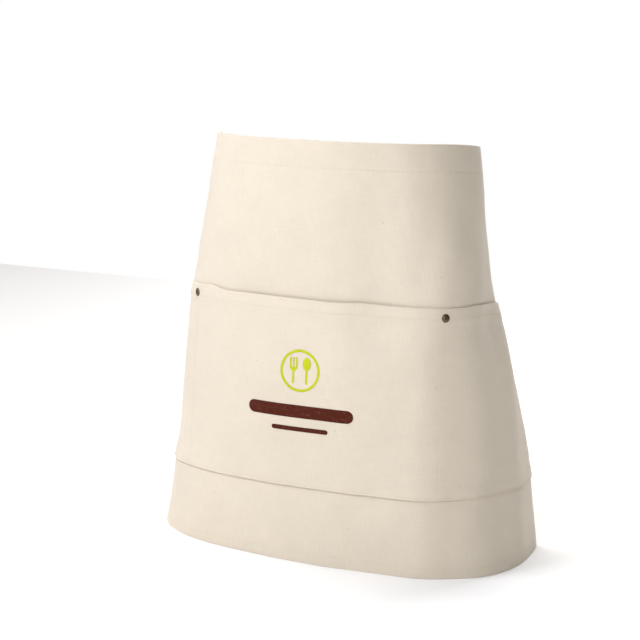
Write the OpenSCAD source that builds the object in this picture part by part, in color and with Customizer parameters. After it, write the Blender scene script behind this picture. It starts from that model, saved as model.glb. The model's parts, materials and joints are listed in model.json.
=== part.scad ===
// Waist apron in canvas, standing open in the shape it takes on a wearer.
// Millimetres, +Z up, front towards -Y. The origin is the middle of the
// bottom hem at the front centre.
//
// A place on the cloth is given by s, the distance round the apron from the
// front centre, h, the distance up the cloth from the hem, and off, how far
// the place stands outside the middle of the main cloth.

/* [Panel] */
// Width of the flat panel, side edge to side edge
panel_w = 640; // [600:10:640]
// Finished length, hem to waist edge
panel_l = 420; // [400:10:460]
// Thickness of the canvas
cloth_t = 0.7; // [0.5:0.05:0.8]
// Depth of the turned band at the waist
band_d = 28; // [26:1:36]
// Depth of the turned bottom hem
hem_d = 11; // [8:1:20]
// Depth of the turned side hems
side_hem_d = 10; // [8:1:14]

/* [Worn shape] */
// Half the width of the apron's outline at the hem
hem_half_w = 200; // [190:1:210]
// Half the width of the outline at the waist
waist_half_w = 134; // [130:1:145]
// Half the depth of the outline at the hem
hem_half_d = 130; // [120:1:140]
// Half the depth of the outline at the waist
waist_half_d = 90; // [86:1:100]
// Squareness of the outline at the hem, where 2 is an ellipse
hem_square = 2.8; // [2.2:0.05:3]
// Squareness of the outline at the waist
waist_square = 2.35; // [2:0.05:2.8]
// How much lower the waist edge lies at its back ends
edge_drop = 32; // [20:1:40]

/* [Pocket] */
// Height of the pocket's mouth
pocket_top = 266; // [240:1:280]
// Height of the pocket's foot seam
pocket_foot = 78; // [60:1:100]
// Depth of the turned hem at the mouth
mouth_hem_d = 12; // [11:1:20]
// Depth of the cloth folded under at the foot
foot_fold_d = 8; // [6:1:12]
// How far the middle compartment stands off the panel
middle_puff = 7; // [6:0.5:10]
// How far the two side compartments stand off
side_puff = 3.5; // [2:0.5:4]

/* [Rivets] */
// Distance of each rivet from the front centre, round the cloth
rivet_s = 138; // [120:1:150]
// Distance of the rivets below the pocket's mouth
rivet_below = 9; // [8:1:10]
// Diameter of the rivet cap
cap_d = 8.4; // [7:0.1:10]
// Height of the rivet cap
cap_h = 1.8; // [1:0.1:2.5]
// Diameter of the rivet's post
post_d = 3.2; // [2.5:0.1:4]
// Diameter of the backing washer
washer_d = 9.5; // [8:0.5:12]

/* [Ties] */
// Width of the tie tape
tie_w = 25; // [20:1:25]
// Length of the tape sewn to the band
tie_sewn = 26; // [20:1:30]
// Length of the tape beyond the side edge, up to its fold
tie_free = 34; // [30:1:36]
// Length of the folded hank
hank_l = 104; // [90:1:120]
// Thickness of the folded hank
hank_t = 9; // [6:0.5:10]
// Length of single tape between the fold and the hank
hank_lead = 12; // [10:1:20]

/* [Thread and print] */
// Width of a row of stitches
thread_w = 0.8; // [0.5:0.1:1.2]
// Thickness of a row of stitches
thread_h = 0.4; // [0.2:0.1:0.6]
// Thickness of the printed ink
ink_t = 0.2; // [0.1:0.05:0.3]
// Outer radius of the printed ring
ring_r = 21; // [18:1:24]

/* [Hidden] */

canvas = [0.93, 0.89, 0.81];
thread = [0.88, 0.83, 0.73];
dark_brass = [0.38, 0.33, 0.26];
lime = [0.76, 0.79, 0.13];
dark_brown = [0.30, 0.12, 0.05];

half_w = panel_w / 2;
turned_s = half_w - side_hem_d;      // where the turned side hems end
edge_in = 0.5;                       // turned cloth stops short of the edge
air = 0.1;                           // clearance between two layers
lay = cloth_t + air;                 // one layer and its clearance
face = cloth_t / 2;                  // outside of the main cloth
level_side = 130;                    // the waist edge is level as far as this
flare_from = 0.19;                   // the depth narrows between these two
flare_to = 0.75;                     // shares of the length
arc_step = 3;
rivet_h = pocket_top - rivet_below;
print_mid = 196;                     // height of the printed ring's centre
fold_gap = 1.0;                      // from the fold line to the cloth each side

// ---- the surface ----
function mix(a, b, t) = a + (b - a) * t;
function clamp01(x) = min(1, max(0, x));
function smooth(x) = let (c = clamp01(x)) c * c * (3 - 2 * c);
function steps(a, b, n) = [for (i = [0:n]) mix(a, b, i / n)];

function outline_w(t) = mix(hem_half_w, waist_half_w, t);
function outline_d(t) = mix(hem_half_d, waist_half_d, smooth((t - flare_from) / (flare_to - flare_from)));
function outline_n(t) = mix(hem_square, waist_square, t);

// A level outline is a rounded oval. a is the angle round it from the front.
function outline_pt(a, t) =
    let (n = outline_n(t), w = outline_w(t), d = outline_d(t))
    let (r = pow(pow(abs(sin(a)) / w, n) + pow(abs(cos(a)) / d, n), -1 / n))
    [r * sin(a), d - r * cos(a)];

function outline_out(a, t) =
    let (n = outline_n(t), w = outline_w(t), d = outline_d(t), p = outline_pt(a, t), q = d - p.y)
    let (v = [sign(p.x) * pow(abs(p.x) / w, n - 1) / w, -sign(q) * pow(abs(q) / d, n - 1) / d])
    v / norm(v);

// Distance round the outline against angle, for lookup().
function arc_table(t) =
    let (p = [for (a = [0:arc_step:180]) outline_pt(a, t)], last = len(p) - 1)
    [for (i = 0, run = 0; i <= last; run = run + (i < last ? norm(p[i + 1] - p[i]) : 0), i = i + 1)
        [run, arc_step * i]];

// The cloth doesn't stretch, so its edges, which run slantwise, end lower.
function drop(s) =
    edge_drop * pow(max(0, min(abs(s), half_w) - level_side) / (half_w - level_side), 2);

// All layers share one grid of columns and levels and are flat between its
// lines, so that layers a little apart never cut into each other.
function after_first(v) = [for (i = [1:len(v) - 1]) v[i]];
right_columns = concat(steps(rivet_s, turned_s, 12), steps(half_w, half_w + tie_free, 3));
columns = concat([for (i = [len(right_columns) - 1:-1:1]) -right_columns[i]],
    steps(-rivet_s, rivet_s, 20), after_first(right_columns));
levels = concat(steps(0, pocket_foot, 5), after_first(steps(pocket_foot, pocket_top, 13)),
    after_first(steps(pocket_top, panel_l, 10)));

// The last line of the grid that is not past x.
function line_below(lines, x) = max([for (i = [0:len(lines) - 2]) if (i == 0 || lines[i] <= x) i]);

// The lines of the grid from a to b, with a and b themselves.
function lines_between(lines, a, b) = [a, for (x = lines) if (x > a && x < b) x, b];

function grid_row(h, off) =
    let (t = h / panel_l, table = arc_table(t))
    [for (s = columns)
        let (a = sign(s) * lookup(abs(s), table))
        let (p = outline_pt(a, t) + off(s, h) * outline_out(a, t))
        [p.x, p.y, t * (panel_l - drop(s))]];

// A row of places at height h. off is a function of s and h.
function cloth_row(h, across, off) =
    let (j = line_below(levels, h), f = (h - levels[j]) / (levels[j + 1] - levels[j]))
    let (low = grid_row(levels[j], off), high = grid_row(levels[j + 1], off))
    [for (s = across)
        let (i = line_below(columns, s), g = (s - columns[i]) / (columns[i + 1] - columns[i]))
        mix(mix(low[i], low[i + 1], g), mix(high[i], high[i + 1], g), f)];

function cloth_pt(s, h, off) = cloth_row(h, [s], function (s, h) off)[0];
function cloth_out(s, h) =
    let (t = h / panel_l, a = sign(s) * lookup(abs(s), arc_table(t)))
    outline_out(a, t);

// ---- closed sheets ----
function two(a, b, c, d) = [[a, b, c], [a, c, d]];

// Faces of a slab of nc by nr places, the outer grid first, then the inner.
function slab_faces(nc, nr) =
    let (m = nc * nr, top = (nr - 1) * nc)
    [for (j = [0:nr - 2], i = [0:nc - 2])
        let (k = j * nc + i)
        each concat(
            two(k, k + nc, k + nc + 1, k + 1),
            two(m + k, m + k + 1, m + k + nc + 1, m + k + nc)),
     for (i = [0:nc - 2])
        each concat(
            two(i, i + 1, m + i + 1, m + i),
            two(top + i, m + top + i, m + top + i + 1, top + i + 1)),
     for (j = [0:nr - 2])
        let (l = j * nc, r = l + nc - 1)
        each concat(
            two(l, m + l, m + l + nc, l + nc),
            two(r, r + nc, m + r + nc, m + r))];

// A sheet from s0 to s1 and h0 to h1, from off to off + thick.
module sheet(s0, s1, h0, h1, off, thick) {
    across = lines_between(columns, s0, s1);
    up = lines_between(levels, h0, h1);
    outer = [for (h = up) each cloth_row(h, across, function (s, h) off(s, h) + thick)];
    inner = [for (h = up) each cloth_row(h, across, off)];
    polyhedron(concat(outer, inner), slab_faces(len(across), len(up)), convexity = 8);
}

// A flat shape on the cloth: at height h it reaches side(h) each way from mid.
module shape(mid, up, side, off, thick) {
    lines = [for (h = up) [mid - side(h), mid, mid + side(h)]];
    outer = [for (j = [0:len(up) - 1])
        each cloth_row(up[j], lines[j], function (s, h) off(s, h) + thick)];
    inner = [for (j = [0:len(up) - 1]) each cloth_row(up[j], lines[j], off)];
    polyhedron(concat(outer, inner), slab_faces(3, len(up)), convexity = 4);
}

// ---- how far each layer stands out ----
at_body = function (s, h) -face;
on_body = function (s, h) face + air;
function inside(n) = function (s, h) -face - n * lay;

// The pocket touches the panel along its foot, sides and two divisions.
function puff(s, h) =
    let (m = abs(s), v = clamp01((h - pocket_foot) / (pocket_top - pocket_foot)))
    let (rise = sin(90 * min(1, v / 0.45)))
    rise * (m < rivet_s
        ? middle_puff * pow(cos(90 * m / rivet_s), 0.6)
        : side_puff * sin(180 * clamp01((m - rivet_s) / (half_w - rivet_s))));

pocket_turn = function (s, h) face + air + puff(s, h);
pocket_back = function (s, h) pocket_turn(s, h) + lay;
on_pocket = function (s, h) pocket_back(s, h) + lay;

// ---- cloth pieces ----
module body_panel() {
    color(canvas) sheet(-half_w, half_w, 0, panel_l, at_body, cloth_t);
}

module waist_hem() {
    color(canvas)
        sheet(-turned_s + edge_in, turned_s - edge_in, panel_l - band_d, panel_l - edge_in, inside(1), cloth_t);
}

module bottom_hem() {
    color(canvas) sheet(-turned_s + edge_in, turned_s - edge_in, edge_in, hem_d, inside(1), cloth_t);
}

module side_hem(side) {
    edge = half_w - edge_in;
    s0 = side > 0 ? turned_s : -edge;
    s1 = side > 0 ? edge : -turned_s;
    color(canvas) sheet(s0, s1, edge_in, panel_l - edge_in, inside(1), cloth_t);
}

module pocket_panel() {
    color(canvas) sheet(-half_w, half_w, pocket_foot, pocket_top, pocket_back, cloth_t);
}

module pocket_mouth_hem() {
    color(canvas)
        sheet(-half_w, half_w, pocket_top - mouth_hem_d, pocket_top - edge_in, pocket_turn, cloth_t);
}

// The fold lies flat on the panel, under the foot of the pocket.
module pocket_foot_fold() {
    color(canvas)
        sheet(-half_w, half_w, pocket_foot + edge_in, pocket_foot + foot_fold_d, on_body, cloth_t);
}

// ---- rivets ----
// Puts its children at a rivet, with +Z out of the cloth from its middle.
module at_rivets() {
    for (side = [-1, 1]) {
        out = cloth_out(side * rivet_s, rivet_h);
        translate(cloth_pt(side * rivet_s, rivet_h, 0))
            rotate([0, 90, atan2(out.y, out.x)])
                children();
    }
}

cap_z = face + air + 2 * lay + 0.5;      // under side of the cap
washer_z = -face - 0.9;                  // outer side of the washer
washer_t = 0.8;

module rivet_caps() {
    color(dark_brass) at_rivets() translate([0, 0, cap_z])
        rotate_extrude($fn = 32) polygon([
            [0, 0], [cap_d / 2, 0], [cap_d / 2, cap_h * 0.35],
            for (a = [20:20:80]) [cap_d / 2 * cos(a), cap_h * (0.35 + 0.65 * sin(a))],
            [0, cap_h]]);
}

module rivet_posts() {
    color(dark_brass) at_rivets() translate([0, 0, washer_z - washer_t - 0.5])
        cylinder(d = post_d, h = cap_z - washer_z + washer_t + 0.5, $fn = 24);
}

module rivet_washers() {
    color(dark_brass) at_rivets() translate([0, 0, washer_z - washer_t]) difference() {
        cylinder(d = washer_d, h = washer_t, $fn = 32);
        translate([0, 0, -1]) cylinder(d = post_d + 0.1, h = washer_t + 2, $fn = 24);
    }
}

// ---- ties ----
tie_top = panel_l - 1.5;
tie_low = tie_top - tie_w;
hank_s = half_w + tie_free - tie_w / 2;
tie_off = -face - 2 * lay + cloth_t / 2;   // middle of the tape's thickness
fold_at = cloth_pt(hank_s, tie_low, tie_off) - [0, 0, fold_gap];

module tie_sewn_end(side) {
    far = half_w + tie_free;
    near = half_w - tie_sewn;
    s0 = side > 0 ? near : -far;
    s1 = side > 0 ? far : -near;
    color(canvas) sheet(s0, s1, tie_low, tie_top, inside(2), cloth_t);
}

// Puts its children at a tie's fold line, with -Z down the hanging tape.
module at_fold(side) {
    translate([side * fold_at.x, fold_at.y, fold_at.z]) children();
}

module tie_hank(side) {
    color(canvas) at_fold(side) {
        translate([-tie_w / 2, -cloth_t / 2, -hank_lead - 1])
            cube([tie_w, cloth_t, hank_lead + 1 - fold_gap]);
        translate([-tie_w / 2, 0, -hank_lead - hank_l])
            rotate([90, 0, 90]) linear_extrude(tie_w) {
                translate([-hank_t / 2, hank_t / 2]) square([hank_t, hank_l - hank_t]);
                translate([0, hank_t / 2]) circle(d = hank_t, $fn = 24);
                translate([0, hank_l - hank_t / 2]) circle(d = hank_t, $fn = 24);
            }
    }
}

// The last of the tape is wound once round the middle of the hank.
module tie_wrap(side) {
    wrap_w = tie_w + 2.4;
    wrap_d = hank_t + 2.4;
    color(canvas) at_fold(side)
        translate([0, 0, -hank_lead - hank_l / 2 - tie_w / 2]) difference() {
            translate([-wrap_w / 2, -wrap_d / 2, 0]) cube([wrap_w, wrap_d, tie_w]);
            translate([-tie_w / 2 - air, -hank_t / 2 - air, -1])
                cube([tie_w + 2 * air, hank_t + 2 * air, tie_w + 2]);
        }
}

// ---- stitching ----
// A row is narrower than the grid, so it lies a little further off the cloth.
function raised(off) = function (s, h) off(s, h) + 0.25;

module stitch_row(s0, s1, h, off) {
    color(thread) sheet(s0, s1, h - thread_w / 2, h + thread_w / 2, raised(off), thread_h);
}

module stitch_column(s, h0, h1, off) {
    color(thread) sheet(s - thread_w / 2, s + thread_w / 2, h0, h1, raised(off), thread_h);
}

module waist_stitching() {
    stitch_row(-half_w, half_w, panel_l - band_d + 2, on_body);
}

module hem_stitching() {
    stitch_row(-half_w, half_w, hem_d - 1.5, on_body);
}

// The side rows run over the pocket between its foot and its mouth.
module side_stitching() {
    run_s = turned_s + 2;
    for (side = [-1, 1]) {
        stitch_column(side * run_s, hem_d, pocket_foot - 1, on_body);
        stitch_column(side * run_s, pocket_foot + 4, pocket_top - mouth_hem_d, on_pocket);
        stitch_column(side * run_s, pocket_top + 1, panel_l - band_d, on_body);
    }
}

module mouth_stitching() {
    h = pocket_top - mouth_hem_d + 1.5;
    stitch_row(-half_w, -rivet_s - cap_d, h, on_pocket);
    stitch_row(-rivet_s + cap_d, rivet_s - cap_d, h, on_pocket);
    stitch_row(rivet_s + cap_d, half_w, h, on_pocket);
}

module foot_stitching() {
    stitch_row(-half_w, half_w, pocket_foot + 2, on_pocket);
}

module division_stitching() {
    for (side = [-1, 1])
        stitch_column(side * rivet_s, pocket_foot + 4, rivet_h - cap_d, on_pocket);
}

// A square of stitches holds each tie to the band.
module tie_stitching() {
    in_s = half_w - tie_sewn + 3;
    out_s = half_w - 3;
    low = tie_low + 5;
    high = tie_top - 3;
    for (side = [-1, 1]) {
        s0 = min(side * in_s, side * out_s);
        s1 = max(side * in_s, side * out_s);
        stitch_row(s0, s1, low, on_body);
        stitch_row(s0, s1, high, on_body);
        stitch_column(side * in_s, low + thread_w, high - thread_w, on_body);
        stitch_column(side * out_s, low + thread_w, high - thread_w, on_body);
    }
}

// ---- label and print ----
module care_label() {
    label_w = 32;
    label_h = 40;
    label_low = 150;
    label_t = 0.3;
    edge = -half_w + 2;
    color("white") sheet(edge, edge + label_w, label_low, label_low + label_h, inside(2), label_t);
}

function ring_pts(r, thick) = [for (a = [0:10:350])
    let (s = r * sin(a), h = print_mid + r * cos(a))
    cloth_pt(s, h, on_pocket(s, h) + thick)];

module print_ring() {
    count = 36;
    band = 2.6;
    points = concat(ring_pts(ring_r, 0), ring_pts(ring_r, ink_t),
        ring_pts(ring_r - band, 0), ring_pts(ring_r - band, ink_t));
    faces = [for (i = [0:count - 1])
        let (j = (i + 1) % count, o = 0, ot = count, n = 2 * count, nt = 3 * count)
        each concat(two(o + i, ot + i, ot + j, o + j), two(ot + i, nt + i, nt + j, ot + j),
            two(nt + i, n + i, n + j, nt + j), two(n + i, o + i, o + j, n + j))];
    color(lime) polyhedron(points, faces, convexity = 4);
}

// A fork on the left and a spoon on the right, both upright.
module print_cutlery() {
    grip = 1.1;
    foot_h = print_mid - 13;
    head_h = print_mid + 3;
    reach = 13;
    spoon = function (h) max(grip, abs(h - head_h - 4) < 6.5 ? 4.4 * sqrt(1 - pow((h - head_h - 4) / 6.5, 2)) : 0);
    fork = function (h) h < head_h - 4 ? grip : mix(grip, 4.2, sin(90 * clamp01((h - head_h + 4) / 4)));
    color(lime) {
        shape(7, steps(foot_h, print_mid + reach, 20), spoon, on_pocket, ink_t);
        shape(-7, steps(foot_h, head_h, 12), fork, on_pocket, ink_t);
        for (tine = [-1:1])
            shape(-7 + 3.2 * tine, [head_h + 0.02, print_mid + reach], function (h) 0.9, on_pocket, ink_t);
    }
}

// A bar with round ends, reach wide each way and r high each way.
module bar(reach, r, mid) {
    end = function (h) reach - r + sqrt(max(0, r * r - pow(h - mid, 2)));
    level_part = lines_between(columns, -reach + r, reach - r);
    up = [for (a = [-80:20:80]) mid + r * sin(a)];
    rows = [for (h = up) concat([-end(h)], level_part, [end(h)])];
    outer = [for (j = [0:len(up) - 1])
        each cloth_row(up[j], rows[j], function (s, h) on_pocket(s, h) + ink_t)];
    inner = [for (j = [0:len(up) - 1]) each cloth_row(up[j], rows[j], on_pocket)];
    color(dark_brown)
        polyhedron(concat(outer, inner), slab_faces(len(rows[0]), len(up)), convexity = 4);
}

// One thick and one thin bar under the ring.
module print_bars() {
    bar(56, 6.5, print_mid - 41);
    bar(30, 2.3, print_mid - 59);
}

body_panel();
waist_hem();
bottom_hem();
side_hem(-1);  // side_hem_left
side_hem(1);  // side_hem_right
pocket_panel();
pocket_mouth_hem();
pocket_foot_fold();
rivet_caps();
rivet_posts();
rivet_washers();
tie_sewn_end(-1);  // tie_left_sewn_end
tie_sewn_end(1);  // tie_right_sewn_end
tie_hank(-1);  // tie_left
tie_hank(1);  // tie_right
tie_wrap(-1);  // tie_left_wrap
tie_wrap(1);  // tie_right_wrap
waist_stitching();
side_stitching();
hem_stitching();
mouth_stitching();
foot_stitching();
division_stitching();
tie_stitching();
care_label();
print_ring();
print_cutlery();
print_bars();
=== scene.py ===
import json
import math

import bpy
import numpy as np
from bpy.props import FloatProperty, FloatVectorProperty, PointerProperty
from mathutils import Matrix, Vector


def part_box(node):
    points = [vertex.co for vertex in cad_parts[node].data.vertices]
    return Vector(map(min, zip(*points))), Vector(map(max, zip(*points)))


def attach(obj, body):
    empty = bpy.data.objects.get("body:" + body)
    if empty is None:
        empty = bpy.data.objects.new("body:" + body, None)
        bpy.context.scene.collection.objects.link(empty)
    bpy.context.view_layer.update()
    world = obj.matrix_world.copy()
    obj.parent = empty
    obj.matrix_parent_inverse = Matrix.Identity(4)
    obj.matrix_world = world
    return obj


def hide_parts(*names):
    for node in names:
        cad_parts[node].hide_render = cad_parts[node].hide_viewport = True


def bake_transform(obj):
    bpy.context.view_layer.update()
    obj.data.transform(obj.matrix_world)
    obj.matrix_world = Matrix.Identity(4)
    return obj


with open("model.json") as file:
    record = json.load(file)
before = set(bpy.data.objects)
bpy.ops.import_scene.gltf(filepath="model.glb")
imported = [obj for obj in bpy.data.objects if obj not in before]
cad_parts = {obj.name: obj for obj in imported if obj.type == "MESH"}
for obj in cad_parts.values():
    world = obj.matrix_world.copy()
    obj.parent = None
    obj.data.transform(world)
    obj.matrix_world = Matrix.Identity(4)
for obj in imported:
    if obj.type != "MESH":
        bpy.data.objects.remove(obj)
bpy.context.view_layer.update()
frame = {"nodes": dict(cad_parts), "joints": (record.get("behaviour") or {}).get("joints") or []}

# A waist apron in canvas, standing in the shape it takes on a wearer. Metres, +Z up, front towards -Y.
# A place on the cloth is given by s, the distance round it from the front centre, h, the distance up it from
# the hem, and off, how far the place stands outside the middle of the main cloth.

bl_info = {
    "name": "Waist apron",
    "version": (1, 0, 0),
    "blender": (4, 5, 0),
    "location": "View3D > Sidebar > Apron",
    "description": "Builds a canvas waist apron with a riveted front pocket and folded ties",
    "category": "Add Mesh",
}

MM = 0.001

# ---- the worn shape, as in the frame ----
HALF_W = 0.320                # half the flat panel's width
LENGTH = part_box("body_panel")[1].z
HEM_HALF_W, WAIST_HALF_W = 0.200, 0.134
HEM_HALF_D, WAIST_HALF_D = 0.130, 0.090
HEM_SQUARE, WAIST_SQUARE = 2.8, 2.35
FLARE_FROM, FLARE_TO = 0.19, 0.75
EDGE_DROP = 0.032             # how much lower the waist edge lies at its back ends
LEVEL_SIDE = 0.130            # the waist edge is level as far as this
HIP_DIP = 0.0036              # a slight sag of the waist edge behind the left hip

POCKET_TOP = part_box("pocket_panel")[1].z
POCKET_FOOT = 0.078
MOUTH_HEM, FOOT_FOLD = 0.012, 0.008
RIVET_S, RIVET_H = 0.138, POCKET_TOP - 0.009
CAP_D = 0.0084
LAY = 0.0008                  # from the middle of one layer of cloth to the next
FOOT_LIFT = 0.0003            # how far the pocket's folded foot lifts off the main cloth

# ---- seams ----
WAIST_SEAM_H = LENGTH - 0.026
MOUTH_SEAM_H = POCKET_TOP - 0.0105
FOOT_SEAM_H = POCKET_FOOT + 0.002
HEM_SEAM_H = 0.0095
SIDE_SEAM_S = 0.312

# ---- ties ----
TIE_TOP = LENGTH - 0.0015
TIE_W = 0.025
TIE_SEWN = 0.026
TIE_BOX_S = (HALF_W - TIE_SEWN + 0.003, HALF_W - 0.003)
TIE_BOX_H = (TIE_TOP - TIE_W + 0.005, TIE_TOP - 0.003)
HINGE_H = frame["joints"][1]["pos_m"][2]
HANK_TOP = HINGE_H - 0.012
HANK_L = HANK_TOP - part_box("tie_right")[0].z
FOLD_X = (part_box("tie_right")[0].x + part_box("tie_right")[1].x) / 2
HANK_Y = (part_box("tie_right")[0].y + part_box("tie_right")[1].y) / 2


# ---- settings that a user would change ----
def length_setting(name, description, millimetres):
    return FloatProperty(name=name, description=description, default=millimetres * MM, unit="LENGTH")


def colour_setting(name, description, colour):
    return FloatVectorProperty(name=name, description=description, default=colour, subtype="COLOR")


def power_setting(name, description, watts):
    return FloatProperty(name=name, description=description, default=watts, subtype="POWER")


class ApronClothSettings(bpy.types.PropertyGroup):
    cloth_thickness: length_setting("Cloth thickness", "Thickness of the canvas", 0.7)
    grid: length_setting("Grid", "Spacing of the cloth's mesh away from its seams", 3.5)
    fine_grid: length_setting("Seam grid", "Spacing of the cloth's mesh at its seams", 1.1)
    middle_puff: length_setting("Middle fullness", "How far the middle compartment stands off", 7.5)
    side_puff: length_setting("Side fullness", "How far the side compartments stand off", 4.5)
    unevenness: length_setting("Unevenness", "Height of the cloth's broad soft waves", 1.3)
    pucker: length_setting("Pucker", "Height of the ripples along the seams", 0.32)


class ApronThreadSettings(bpy.types.PropertyGroup):
    stitch_length: length_setting("Stitch length", "Length of thread that shows in one stitch", 2.5)
    stitch_pitch: length_setting("Stitch pitch", "Distance from one stitch to the next", 3.2)
    thread_thickness: length_setting("Thread thickness", "Thickness of the sewing thread", 0.5)


class ApronColourSettings(bpy.types.PropertyGroup):
    canvas: colour_setting("Canvas", "Colour of the cloth", (0.680, 0.604, 0.497))
    tape: colour_setting("Tape", "Colour of the tie tape", (0.664, 0.592, 0.480))
    thread: colour_setting("Thread", "Colour of the sewing thread", (0.672, 0.592, 0.465))
    brass: colour_setting("Brass", "Colour of the aged rivets", (0.13, 0.103, 0.077))
    lime: colour_setting("Lime ink", "Colour of the printed ring, fork and spoon", (0.485, 0.53, 0.012))
    brown: colour_setting("Brown ink", "Colour of the printed bars", (0.075, 0.013, 0.005))
    label: colour_setting("Label", "Colour of the care label", (0.82, 0.81, 0.78))


class ApronStageSettings(bpy.types.PropertyGroup):
    key_power: power_setting("Key light", "Power of the close light at the upper left", 13.8)
    front_power: power_setting("Front light", "Power of the large light in front", 17.2)
    side_power: power_setting("Side light", "Power of the weak light at the right", 2.6)
    back_power: power_setting("Back light", "Power of the large light behind", 48.0)
    top_strength: FloatProperty(
        name="Top light", description="Strength of the light from above", default=1.85)
    key_colour: colour_setting("Key colour", "Colour of the close light", (0.93, 0.945, 1.0))
    top_colour: colour_setting("Top colour", "Colour of the light from above", (1.0, 0.955, 0.92))


def settings():
    return bpy.context.scene.apron


class ApronSettings(bpy.types.PropertyGroup):
    cloth: PointerProperty(type=ApronClothSettings)
    thread: PointerProperty(type=ApronThreadSettings)
    colour: PointerProperty(type=ApronColourSettings)
    stage: PointerProperty(type=ApronStageSettings)


# ---- the surface of the standing cloth ----
def mix(a, b, share):
    return a + (b - a) * share


def ramp(value, start, end):
    """0 before start, 1 after end, and a smooth rise between."""
    share = np.clip((value - start) / (end - start), 0, 1)
    return share * share * (3 - 2 * share)


def outline(angle, level):
    """Places round the apron's level outline, and the way out of the cloth there."""
    square = mix(HEM_SQUARE, WAIST_SQUARE, level)
    wide = mix(HEM_HALF_W, WAIST_HALF_W, level)
    deep = mix(HEM_HALF_D, WAIST_HALF_D, ramp(level, FLARE_FROM, FLARE_TO))
    side, front = np.sin(angle), np.cos(angle)
    reach = (np.abs(side / wide) ** square + np.abs(front / deep) ** square) ** (-1 / square)
    x, q = reach * side, reach * front
    out = np.stack([
        np.sign(x) * np.abs(x / wide) ** (square - 1) / wide,
        -np.sign(q) * np.abs(q / deep) ** (square - 1) / deep,
        np.zeros_like(x)], -1)
    out /= np.linalg.norm(out, axis=-1, keepdims=True)
    return np.stack([x, deep - q, np.zeros_like(x)], -1), out


ROUND_STEP = 0.001            # spacing of the table of angles round the outline
LEVELS = np.linspace(0, 1, 211)


def angle_table():
    """The angle round the outline against the distance round it, one row for each level."""
    distances = np.arange(0, 0.362, ROUND_STEP)
    angles = np.linspace(0, math.pi, 1441)
    rows = []
    for level in LEVELS:
        points, _ = outline(angles, np.full_like(angles, level))
        steps = np.linalg.norm(np.diff(points, axis=0), axis=1)
        rows.append(np.interp(distances, np.concatenate([[0], np.cumsum(steps)]), angles))
    return np.array(rows)


ANGLES = angle_table()


def look_up(table, row, column):
    """Values of a table between its rows and columns."""
    r = np.clip(row, 0, table.shape[0] - 1.001)
    c = np.clip(column, 0, table.shape[1] - 1.001)
    i, j = r.astype(int), c.astype(int)
    f, g = r - i, c - j
    low = mix(table[i, j], table[i, j + 1], g)
    high = mix(table[i + 1, j], table[i + 1, j + 1], g)
    return mix(low, high, f)


def value_noise(u, v, cell, seed):
    """Smooth noise from -1 to 1 with that size of cell."""
    table = np.random.default_rng(seed).uniform(-1, 1, (64, 64))
    a, b = u / cell + 32, v / cell + 32
    i, j = np.floor(a).astype(int), np.floor(b).astype(int)
    f, g = a - i, b - j
    f, g = f ** 3 * (f * (6 * f - 15) + 10), g ** 3 * (g * (6 * g - 15) + 10)
    low = mix(table[i % 64, j % 64], table[(i + 1) % 64, j % 64], f)
    high = mix(table[i % 64, (j + 1) % 64], table[(i + 1) % 64, (j + 1) % 64], f)
    return mix(low, high, g)


# Soft folds of the standing cloth: from (s, h) to (s, h), half width, and height, all in millimetres.
FOLDS = [
    ((20, 280), (12, 410), 34, 1.5),       # the front's middle stands out a little above the pocket
    ((74, 256), (66, 400), 25, -2.4),      # hollow in the front, left of the right hip
    ((138, 262), (142, 330), 17, 1.6),     # edge of that hollow, up from the right rivet
    ((189, 285), (194, 420), 26, 3.6),     # the hip line at the waist
    ((200, 255), (196, 325), 25, -3.2),    # dent beside the right rivet
    ((124, 240), (126, 0), 25, 4.2),       # the hip line below the right rivet
    ((202, 236), (214, 40), 24, -3.6),     # hollow of the right side compartment
    ((238, 236), (262, 30), 18, 2.6),      # roll beside it
    ((-30, 100), (-44, 20), 32, 0.8),
    ((-190, 0), (-100, 0), 45, -3.6),      # the hem leans in at the left
    ((60, 120), (70, 10), 30, -1.2),
    ((-150, 250), (-158, 60), 16, 1.4),
    ((-196, 400), (-214, 60), 26, -2.4),
    ((-262, 330), (-276, 20), 24, 2.2),
    ((262, 400), (276, 260), 24, 1.8),
]


def fold_height(s, h, start, end, half_width, height):
    """One soft fold along a line, fading out past its ends."""
    (s0, h0), (s1, h1) = np.array(start) * MM, np.array(end) * MM
    along = np.array([s1 - s0, h1 - h0])
    length = np.linalg.norm(along)
    along /= length
    far = (s - s0) * along[0] + (h - h0) * along[1]
    side = (s - s0) * along[1] - (h - h0) * along[0]
    beyond = np.maximum(0, np.maximum(-far, far - length))
    width = half_width * MM
    return height * MM * np.exp(-(side / width) ** 2 - (beyond / (1.5 * width)) ** 2)


def seam_distances(s, h):
    """For each seam: how far a place is from it, the place along it, how hard it pulls, and its seed."""
    on_pocket = (h > POCKET_FOOT) & (h < POCKET_TOP)
    past_pocket = np.where(on_pocket, 0, 1)
    return [
        (np.abs(h - WAIST_SEAM_H), s, 0.7, 11),
        (np.abs(h - HEM_SEAM_H), s, 1.0, 12),
        (np.abs(h - FOOT_SEAM_H), s, 0.6, 13),
        (np.abs(np.abs(s) - SIDE_SEAM_S), h + np.sign(s), 1.0, 14),
        (np.abs(np.abs(s) - RIVET_S) + past_pocket, h + 2 * np.sign(s), 0.3, 15),
    ]


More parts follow.
